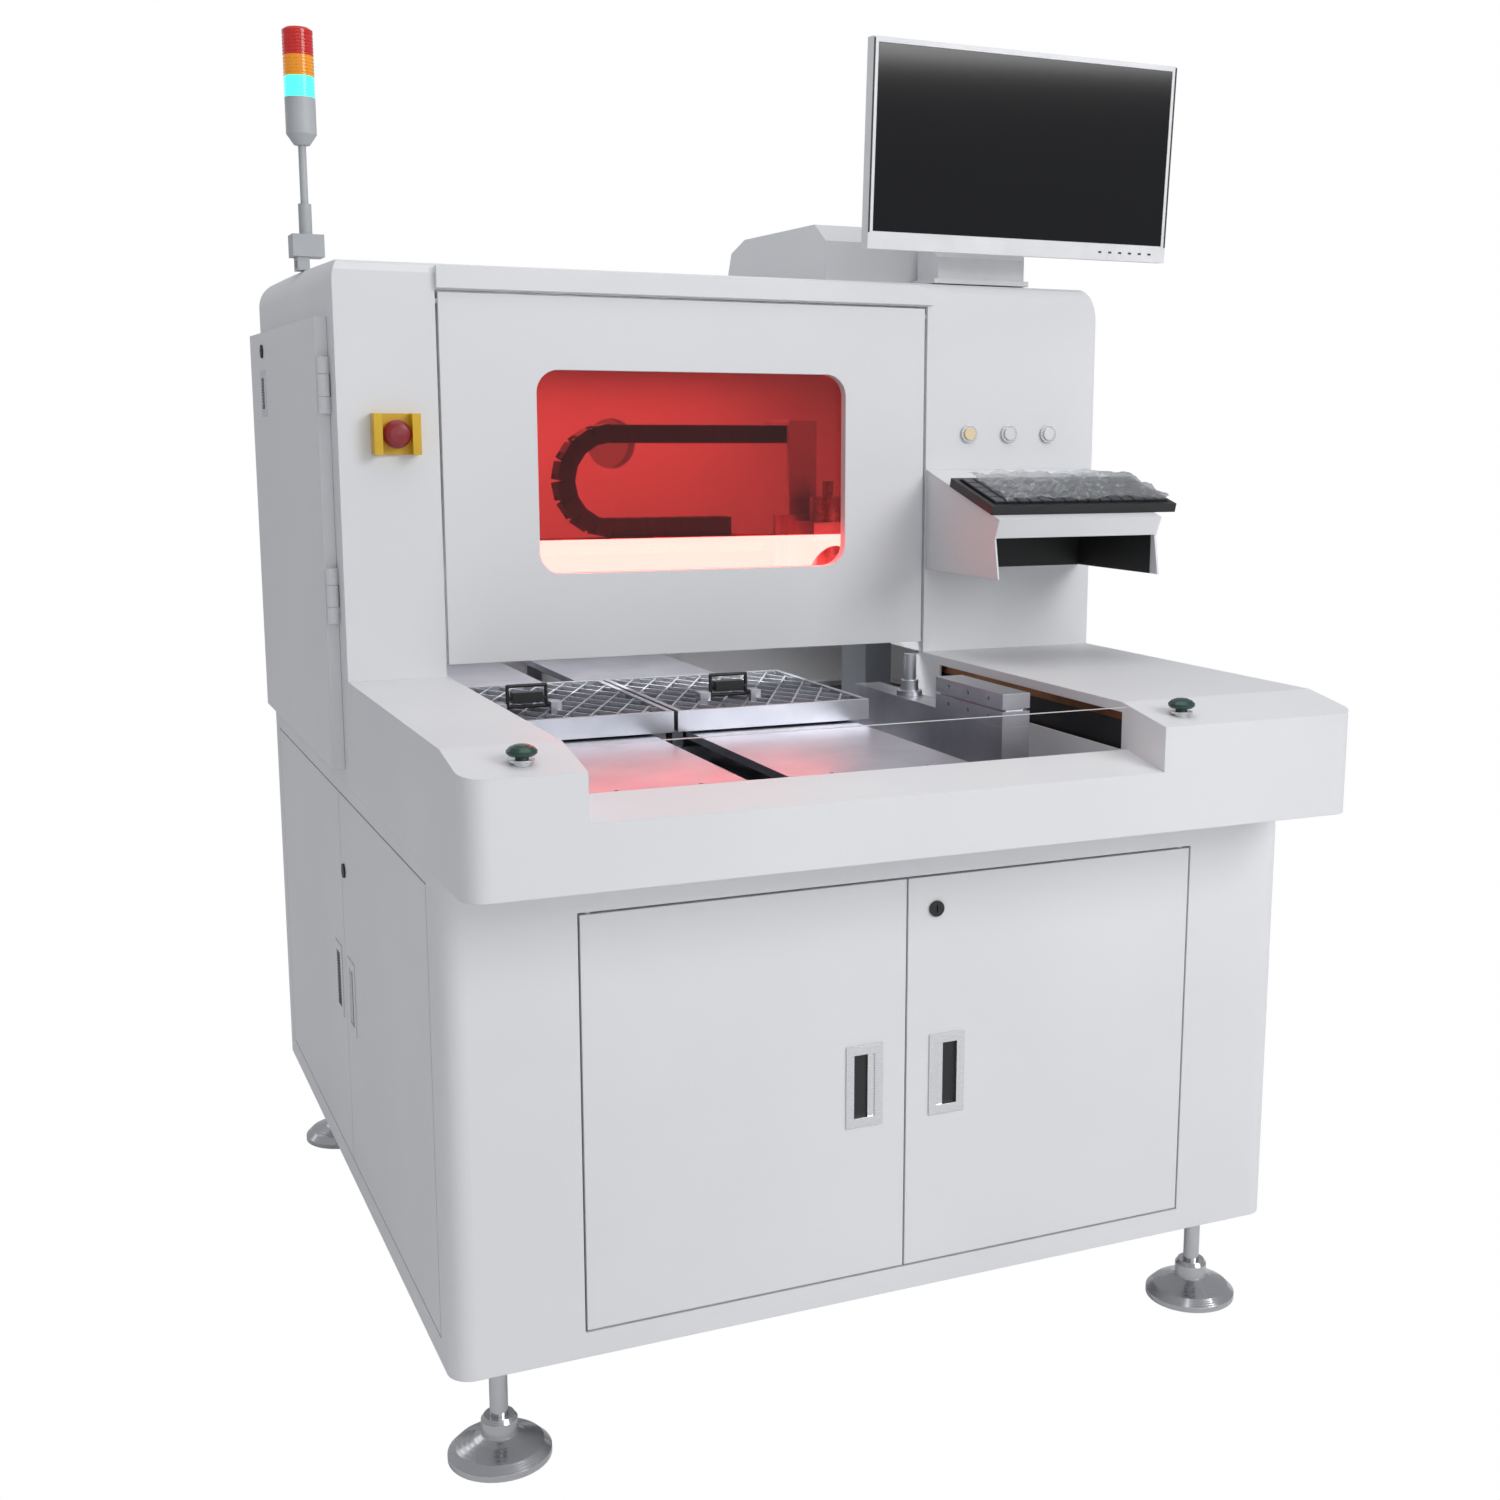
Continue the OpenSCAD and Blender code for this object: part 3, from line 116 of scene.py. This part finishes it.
def powder_coat(name, colour, shade, roughness=0.42):
    """Powder-coated sheet steel: a soft sheen broken by fine orange peel."""
    made, tree, shader = start(name, colour, roughness, IOR=1.5)
    place, noise, _ = mottle(tree, shader, colour, shade, 420.0, 2.0)
    rough_range(tree, shader, noise.outputs["Fac"], roughness - 0.05, roughness + 0.08)
    peel = add(tree, "ShaderNodeTexNoise", None, {
        "Vector": place.outputs["Object"], "Scale": 1000.0 / 2.4, "Detail": 2.0})
    relief(tree, shader, peel.outputs["Fac"], 0.05, 0.35, 1.4)
    return made


def milled_metal(name, colour, shade, roughness=0.32):
    """Milled or drawn metal: fine lines along the cut, uneven gloss."""
    grain_mm, stretch_times = 1.0, 30.0
    made, tree, shader = start(name, colour, roughness, 1.0)
    place, _, _ = mottle(tree, shader, colour, shade, 90.0)
    stretch = add(tree, "ShaderNodeMapping", None, {
        "Vector": place.outputs["Object"], "Scale": (1.0, stretch_times, stretch_times)})
    lines = add(tree, "ShaderNodeTexNoise", None, {
        "Vector": stretch.outputs["Vector"], "Scale": 1000.0 / (stretch_times * grain_mm),
        "Detail": 4.0})
    rough_range(tree, shader, lines.outputs["Fac"], roughness - 0.08, roughness + 0.14)
    relief(tree, shader, lines.outputs["Fac"], 0.03, 0.25, 0.5)
    return made


def moulded_plastic(name, colour, shade, roughness=0.45):
    """Injection-moulded ABS: spark-eroded grain on the faces, edges rounded by the tool."""
    grit_mm, depth_mm = 1.1, 0.06
    made, tree, shader = start(name, colour, roughness, IOR=1.54)
    place, noise, _ = mottle(tree, shader, colour, shade, 60.0)
    grain = add(tree, "ShaderNodeTexVoronoi", None, {
        "Vector": place.outputs["Object"], "Scale": 1000.0 / grit_mm})
    rough_range(tree, shader, noise.outputs["Fac"], roughness - 0.04, roughness + 0.1)
    relief(tree, shader, grain.outputs["Distance"], depth_mm, 0.4, 0.6)
    return made


def clear_lens(name, colour, glow=0.0):
    """Transparent moulded acrylic of a signal lens, ribbed inside, lit or dark."""
    made, tree, shader = start(name, colour, 0.12, IOR=1.49, Transmission_Weight=0.35)
    place, _, _ = mottle(tree, shader, colour, colour, 12.0)
    ribs = add(tree, "ShaderNodeTexWave", {"bands_direction": "Z"}, {
        "Vector": place.outputs["Object"], "Scale": 1000.0 / 16.0, "Distortion": 0.0})
    relief(tree, shader, ribs.outputs["Fac"], 0.3, 0.3, 0.5)
    if glow:
        shader.inputs["Emission Color"].default_value = linear(colour)
        shader.inputs["Emission Strength"].default_value = glow
    return made


def tinted_acrylic(name, colour):
    """Cast acrylic of the safety window, dyed red, faintly wavy from casting."""
    made, tree, shader = start(name, colour, 0.04, IOR=1.49, Transmission_Weight=1.0)
    place = add(tree, "ShaderNodeTexCoord")
    wave = add(tree, "ShaderNodeTexNoise", None, {
        "Vector": place.outputs["Object"], "Scale": 1000.0 / 140.0, "Detail": 1.0})
    relief(tree, shader, wave.outputs["Fac"], 0.4, 0.12)
    return made


def chrome_plate(name, colour, roughness=0.12):
    """Nickel-chrome plating over turned steel: mirror with faint turning marks."""
    made, tree, shader = start(name, colour, roughness, 1.0)
    place = add(tree, "ShaderNodeTexCoord")
    rings = add(tree, "ShaderNodeTexWave", {"bands_direction": "Z"}, {
        "Vector": place.outputs["Object"], "Scale": 1000.0 / 8.0, "Distortion": 2.0, "Detail": 3.0})
    rough_range(tree, shader, rings.outputs["Fac"], roughness, roughness + 0.12)
    relief(tree, shader, rings.outputs["Fac"], 0.02, 0.2, 0.8)
    return made


MATERIALS = {
    "white_enamel": powder_coat("powder_coated_white_steel", "#E3E4E5", "#DFE0E2"),
    "grey_paint": powder_coat("painted_grey_steel_tube", "#6E7276", "#666A6E", 0.5),
    "machined_aluminium": milled_metal("milled_aluminium", "#D2D3D9", "#BFC1C8", 0.34),
    "stainless_sheet": milled_metal("brushed_stainless_sheet", "#DADAE2", "#CBCCD6", 0.3),
    "ground_steel": milled_metal("ground_steel", "#AFB1B5", "#9A9CA0", 0.25),
    "chrome_plate": chrome_plate("chrome_plated_foot", "#C9CACC"),
    "black_paint": powder_coat("black_painted_steel", "#18191B", "#1E1F21", 0.4),
    "black_plastic": moulded_plastic("moulded_black_abs", "#141516", "#1B1C1D"),
    "zinc_plate": milled_metal("zinc_plated_sheet", "#B9BBB4", "#A4A79F", 0.4),
    "yellow_plastic": moulded_plastic("moulded_yellow_abs", "#E0B414", "#D2A60E", 0.35),
    "bezel_chrome": chrome_plate("satin_chrome_trim", "#D9DADC", 0.22),
    "grey_plastic": moulded_plastic("moulded_grey_abs", "#B4B7B9", "#ACAFB1"),
    "red_lens": clear_lens("red_acrylic_lens", "#D0332F", 0.15),
    "amber_lens": clear_lens("amber_acrylic_lens", "#F0A52C", 0.15),
    "green_lens": clear_lens("lit_green_acrylic_lens", "#4FE3C0", 1.0),
    "red_glass": tinted_acrylic("cast_red_acrylic", "#E8403C"),
    "red_plastic": moulded_plastic("moulded_red_abs", "#8F1F24", "#851A20", 0.3),
    "green_plastic": moulded_plastic("moulded_dark_green_abs", "#20453A", "#1B3D33", 0.22),
    "cream_plastic": moulded_plastic("moulded_cream_lens", "#F3DDB4", "#EBD3A6", 0.3),
    "white_plastic": moulded_plastic("moulded_white_abs", "#E4E5E6", "#DBDCDE", 0.35),
}
SLOT_OF = {row["node"]: row["material_slot"] for row in frame["record"]["subparts"]}
for node_name, node in nodes.items():
    material = MATERIALS[SLOT_OF[node_name]]
    if node.material_slots:
        for slot in node.material_slots:
            slot.material = material
    else:
        node.data.materials.append(material)


# ---------------------------------------------------------------- mesh tools

def piece(name, mesh_code, material, body):
    """One visible piece built by mesh code, riding on a body."""
    mesh = bpy.data.meshes.new(name)
    bm = bmesh.new()
    mesh_code(bm)
    bmesh.ops.recalc_face_normals(bm, faces=bm.faces)
    bm.to_mesh(mesh)
    bm.free()
    made = bpy.data.objects.new(name, mesh)
    COLLECTION.objects.link(made)
    mesh.materials.append(MATERIALS[material])
    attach(made, body)
    return made


def soften(made, width_mm):
    """Rounded edges of a moulded or pressed piece."""
    bevel = made.modifiers.new("edge_round", "BEVEL")
    bevel.width = width_mm * MM
    bevel.segments = 2
    bevel.limit_method = "ANGLE"
    return made


def block(bm, low, high, matrix=None):
    """A box between two corners, in metres."""
    made = bmesh.ops.create_cube(bm, size=1.0)["verts"]
    size = Vector(high) - Vector(low)
    middle = (Vector(high) + Vector(low)) / 2
    bmesh.ops.transform(bm, verts=made, matrix=Matrix.Translation(middle) @ Matrix.Diagonal(
        (size.x, size.y, size.z, 1.0)))
    if matrix:
        bmesh.ops.transform(bm, verts=made, matrix=matrix)
    return made


def panel(name, low, high, material, body, round_mm=0.4, matrix=None):
    """A thin plate between two corners, with its edges broken."""
    made = piece(name, lambda bm: block(bm, low, high, matrix), material, body)
    return soften(made, round_mm)


# The machine frame of part.scad has its corner at the front left of the deck, on the ground.
CORNER = Vector((-0.655, -0.74715, 0.0))


def at(x_mm, y_mm, z_mm):
    """A place in the machine frame, in millimetres."""
    return CORNER + Vector((x_mm, y_mm, z_mm)) * MM


def mm(*sizes):
    """Millimetres as a vector in metres."""
    return Vector(sizes) * MM


# ---------------------------------------------------------------- monitor

MATERIALS["screen_glass"] = start("glossy_black_display_glass", "#050506", 0.08, IOR=1.5)[0]
MONITOR_TILT = 3.5
MONITOR_SIZE = (542.0, 306.0)
FACE_TO_PIVOT, FOOT_TO_PIVOT = 78.0, 157.0
MONITOR_PLACE = (Matrix.Translation(at(1060.0, 690.0, 1765.0))
                 @ Matrix.Rotation(math.radians(MONITOR_TILT), 4, "X")
                 @ Matrix.Translation(mm(-MONITOR_SIZE[0] / 2, -FACE_TO_PIVOT, -FOOT_TO_PIVOT)))


def monitor_face():
    """Black display in the white frame, with a row of small keys on the chin."""
    wide, high = MONITOR_SIZE
    rim, chin, glass_face, glass_back = 8.3, 26.3, 0.4, 1.9
    panel("monitor_display", mm(rim, glass_face, chin), mm(wide - rim, glass_back, high - rim),
          "screen_glass", "monitor_head", 0.2, MONITOR_PLACE)
    trim = 3.0
    for side in (0.0, wide - trim):
        panel("monitor_side_trim", mm(side, -0.3, 24.0), mm(side + trim, 0.4, high - 2.0),
              "black_plastic", "monitor_head", 0.1, MONITOR_PLACE)
    key_count, key_wide, key_pitch, first_key = 6, 6.0, 19.0, wide - 128.0
    key_low, key_high = 11.0, 14.0

    def keys(bm):
        for i in range(key_count):
            left = first_key + key_pitch * i
            block(bm, mm(left, -0.5, key_low), mm(left + key_wide, 0.3, key_high), MONITOR_PLACE)
    soften(piece("monitor_keys", keys, "black_plastic", "monitor_head"), 0.2)


monitor_face()


# ---------------------------------------------------------------- keyboard and tray

KEYBOARD = (336.0, 141.0)
TRAY_FRONT, TRAY_RISE, TRAY_RUN = 1198.0, 69.0, 241.0
TRAY_TILT = math.atan(TRAY_RISE / TRAY_RUN)
KEYBOARD_PLACE = (Matrix.Translation(at(932.0, 475.0, TRAY_FRONT + 20.0 * math.tan(TRAY_TILT) + 0.3))
                  @ Matrix.Rotation(TRAY_TILT, 4, "X"))
KEY_ROWS, KEY_COLUMNS = 5, 15
KEY_MARGIN, KEY_FIRST_ROW, KEY_ROW_PITCH, KEY_DEEP = 10.0, 12.0, 23.4, 20.0
KEY_TOP_LOW, KEY_TOP_HIGH = 16.8, 18.0


def film_material():
    """Clear polythene film, wrinkled, with white crease lines."""
    made, tree, shader = start("clear_polythene_film", "#F2F4F6", 0.18, IOR=1.45,
                               Transmission_Weight=0.95, Alpha=0.62)
    place = add(tree, "ShaderNodeTexCoord")
    crease = add(tree, "ShaderNodeTexVoronoi", {"feature": "DISTANCE_TO_EDGE"}, {
        "Vector": place.outputs["Object"], "Scale": 1000.0 / 34.0})
    relief(tree, shader, crease.outputs["Distance"], 3.0, 0.7)
    return made


MATERIALS["film"] = film_material()
MATERIALS["keycap"] = moulded_plastic("moulded_grey_keycap", "#55595F", "#4C5056", 0.5)


def key_tops():
    """A grey cap on every key of the dark keyboard."""
    pitch = (KEYBOARD[0] - 2 * KEY_MARGIN) / KEY_COLUMNS
    gap_left, gap_both, gap_front = 1.6, 3.6, 1.0

    def caps(bm):
        for row in range(KEY_ROWS):
            for column in range(KEY_COLUMNS):
                x = KEY_MARGIN + column * pitch + gap_left
                y = KEY_FIRST_ROW + row * KEY_ROW_PITCH + gap_front
                block(bm, mm(x, y, KEY_TOP_LOW),
                      mm(x + pitch - gap_both, y + KEY_DEEP, KEY_TOP_HIGH), KEYBOARD_PLACE)
    soften(piece("keyboard_caps", caps, "keycap", "cabinet"), 0.8)


def keyboard_film():
    """Wrinkled clear film left over the keys."""
    rng = random.Random(11)
    wide, deep = KEYBOARD[0] - 40.0, KEYBOARD[1] - 8.0
    left, front, clear_of_keys = 26.0, 4.0, 19.0
    across, along = 44, 20

    def folds(bm):
        rows = []
        for j in range(along + 1):
            row = []
            for i in range(across + 1):
                u, v = i / across, j / along
                fold = abs(math.sin(7.0 * u + 9.0 * v)) * 5.0 + abs(math.sin(23.0 * u - 6.0 * v)) * 3.0
                lift = clear_of_keys + fold + rng.uniform(0.0, 3.0)
                place = KEYBOARD_PLACE @ mm(left + u * wide, front + v * deep, lift)
                row.append(bm.verts.new(place))
            rows.append(row)
        for j in range(along):
            for i in range(across):
                bm.faces.new((rows[j][i], rows[j][i + 1], rows[j + 1][i + 1], rows[j + 1][i]))
    made = piece("keyboard_film", folds, "film", "cabinet")
    thick = made.modifiers.new("film_gauge", "SOLIDIFY")
    thick.thickness = 0.1 * MM


key_tops()
keyboard_film()

TRAY_LOW = 1106.0


def tray_painted_shade():
    """Black sheets inside the tray cavity, open to the front: painted shade on its back, the underside
    of its top and its sides.
    """
    low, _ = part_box("keyboard_tray")
    wall, inner, shade_sheet = 3.3, 287.4, 1.0
    left = low[0] + wall * MM
    right = left + inner * MM
    back = at(0.0, 696.0, 0.0).y
    back_top, side_top, top_deep = 1235.0, 1186.0, 225.0
    # Painted shade: black sheets darken the inside of the tray cavity where shade falls.
    panel("tray_back_lining", (left, back - 6.5 * MM, TRAY_LOW * MM),
          (right, back - 5.0 * MM, back_top * MM), "black_plastic", "cabinet", 0.2)
    slope = (Matrix.Translation((left, at(0.0, 461.0, 0.0).y, (TRAY_FRONT - 8.0) * MM))
             @ Matrix.Rotation(TRAY_TILT, 4, "X"))
    panel("tray_top_lining", mm(0.0, 0.0, 0.0), mm(inner, top_deep, -1.2),
          "black_plastic", "cabinet", 0.2, slope)
    for x in (left, right - shade_sheet * MM):
        panel("tray_side_lining", (x, at(0.0, 478.0, 0.0).y, (TRAY_LOW + shade_sheet) * MM),
              (x + shade_sheet * MM, back - 7.0 * MM, side_top * MM), "black_plastic", "cabinet", 0.2)


tray_painted_shade()


# ---------------------------------------------------------------- fixtures and side module

MATERIALS["copper"] = milled_metal("rolled_copper_strip", "#B07C54", "#9C6A45", 0.3)
MATERIALS["mat"] = moulded_plastic("black_antistatic_board", "#1B1D22", "#23262D", 0.5)


def fixture_mat(name, body):
    """Dark board between the silver ribs of a fixture."""
    low, high = (Vector(v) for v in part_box(name))
    rim, back, floor_up, thick = 8.3 * MM, 341.7 * MM, 5.2 * MM, 17.0 * MM
    floor_z = low.z + floor_up
    panel(name + "_mat", (low.x + rim, low.y + rim, floor_z),
          (high.x - rim, low.y + back, floor_z + thick), "mat", body, 0.2, None)


fixture_mat("fixture_left", "shuttle_left")
fixture_mat("fixture_right", "shuttle_right")


def side_slot():
    """Copper strip in the slot beside the tables, in front of a black sheet that paints the shade of
    the open slot.
    """
    low, high = (Vector(v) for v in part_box("side_module"))
    wall_x = at(942.0, 0.0, 0.0).x
    near, far = low.y - 0.2 * MM, high.y
    shade_low, shade_high = 838.0 * MM, 961.2 * MM
    strip_low, strip_high = 942.5 * MM, 953.5 * MM
    # The black sheet is painted shade: it darkens the open slot in the arm's inner wall.
    panel("slot_painted_shade_wall", (wall_x - 0.25 * MM, near, shade_low), (wall_x, far, shade_high),
          "black_plastic", "cabinet", 0.1)
    panel("slot_copper_strip", (wall_x - 3.6 * MM, near, strip_low),
          (wall_x - 0.3 * MM, far, strip_high), "copper", "cabinet", 0.2, None)


side_slot()


# ---------------------------------------------------------------- pulls

CUP_EDGE, INSERT_SHADE_FACE, INSERT_SHADE_BACK = 9.0 * MM, 5.0 * MM, 6.0 * MM


def pull_insert_and_shade(node, body, facing):
    """Dark plate in a flush pull's cup, partly the pull's dark insert and partly painted shade of the
    recess; facing is the axis that the pull looks along.
    """
    low, high = (Vector(v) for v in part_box(node))
    near = low + Vector((CUP_EDGE, CUP_EDGE, CUP_EDGE))
    far = high - Vector((CUP_EDGE, CUP_EDGE, CUP_EDGE))
    if facing == "y":
        near.y, far.y = low.y + INSERT_SHADE_FACE, low.y + INSERT_SHADE_BACK
    else:
        near.x, far.x = low.x + INSERT_SHADE_FACE, low.x + INSERT_SHADE_BACK
    # The dark plate is partly the real dark insert and partly painted shade inside the cup.
    panel(node + "_lining", near, far, "black_plastic", body, 0.3)


pull_insert_and_shade("front_pull_left", "front_door_left_leaf", "y")
pull_insert_and_shade("front_pull_right", "front_door_right_leaf", "y")
pull_insert_and_shade("side_pull_front", "side_door_front_leaf", "x")
pull_insert_and_shade("side_pull_rear", "side_door_rear_leaf", "x")
pull_insert_and_shade("hood_pull", "hood_side_leaf", "x")


# ---------------------------------------------------------------- stage and camera


def stage_material(name, colour):
    """White studio paper, which shows to the camera as plain white."""
    made, tree, shader = start(name, colour, 0.9)
    path = add(tree, "ShaderNodeLightPath")
    plain = add(tree, "ShaderNodeEmission", None, {"Color": (1.0, 1.0, 1.0, 1.0), "Strength": 1.0})
    seen = add(tree, "ShaderNodeMixShader", None, {
        0: path.outputs["Is Camera Ray"], 1: shader.outputs[0], 2: plain.outputs[0]})
    out = tree.nodes["Material Output"]
    tree.links.new(seen.outputs[0], out.inputs["Surface"])
    return made


floor_mesh = bpy.data.meshes.new("studio_floor")
floor_bm = bmesh.new()
bmesh.ops.create_grid(floor_bm, x_segments=1, y_segments=1, size=14.0)
floor_bm.to_mesh(floor_mesh)
floor_bm.free()
floor = bpy.data.objects.new("studio_floor", floor_mesh)
COLLECTION.objects.link(floor)
floor_mesh.materials.append(stage_material("white_studio_paper", "#F4F4F4"))

world = bpy.data.worlds.new("studio_world")
SCENE.world = world
world.use_nodes = True
wt = world.node_tree
sky = wt.nodes["Background"]
sky.inputs["Color"].default_value = (0.93, 0.95, 1.0, 1.0)
sky.inputs["Strength"].default_value = 0.42
white = add(wt, "ShaderNodeBackground", None, {"Color": (1.0, 1.0, 1.0, 1.0), "Strength": 1.0})
ray = add(wt, "ShaderNodeLightPath")
pick = add(wt, "ShaderNodeMixShader", None, {
    0: ray.outputs["Is Camera Ray"], 1: sky.outputs[0], 2: white.outputs[0]})
wt.links.new(pick.outputs[0], wt.nodes["World Output"].inputs["Surface"])


def area_light(name, place, target, size, power, colour=(1.0, 1.0, 1.0)):
    """A soft box aimed at a point."""
    lamp = bpy.data.lights.new(name, "AREA")
    lamp.shape = "RECTANGLE"
    lamp.size, lamp.size_y = size
    lamp.energy = power
    lamp.color = colour
    made = bpy.data.objects.new(name, lamp)
    COLLECTION.objects.link(made)
    made.location = place
    made.rotation_euler = (Vector(target) - Vector(place)).to_track_quat("-Z", "Y").to_euler()
    return made


area_light("key_softbox", (2.6, -4.6, 3.4), (0.0, 0.0, 0.8), (2.4, 2.4), 118.0)
area_light("front_fill", (-0.6, -5.2, 1.8), (0.1, 0.0, 0.9), (3.2, 2.4), 20.0)
area_light("top_softbox", (0.2, -0.4, 4.2), (0.1, 0.0, 0.9), (3.0, 3.0), 42.0)
area_light("back_rim", (-2.6, 3.4, 2.8), (0.0, 0.0, 1.0), (2.0, 2.0), 10.0)

area_light("work_light_front", at(540.0, 800.0, 1130.0), at(540.0, 520.0, 900.0), (0.6, 0.08), 2.6)
area_light("work_light_back", at(540.0, 1180.0, 1480.0), at(540.0, 1100.0, 900.0), (0.8, 0.3), 3.6)

# A normal lens from the front left, at the height of a standing person's chest.
LENS_MM, SENSOR_MM = 43.3416, 36.0
EYE = at(-440.5, -1941.0, 1339.8)
HEADING, PITCH_DOWN, ROLL = -24.779, 9.983, 0.314
camera_data = bpy.data.cameras.new("camera")
camera_data.sensor_width = SENSOR_MM
camera_data.lens = LENS_MM
camera_data.shift_x = -0.0579
camera_data.shift_y = -0.0055
camera_data.clip_end = 100.0
camera = bpy.data.objects.new("camera", camera_data)
COLLECTION.objects.link(camera)
camera.matrix_world = (Matrix.Translation(EYE)
                       @ Matrix.Rotation(math.radians(HEADING), 4, "Z")
                       @ Matrix.Rotation(math.radians(90.0 - PITCH_DOWN), 4, "X")
                       @ Matrix.Rotation(math.radians(ROLL), 4, "Z"))
SCENE.camera = camera
SCENE.view_settings.view_transform = "Standard"
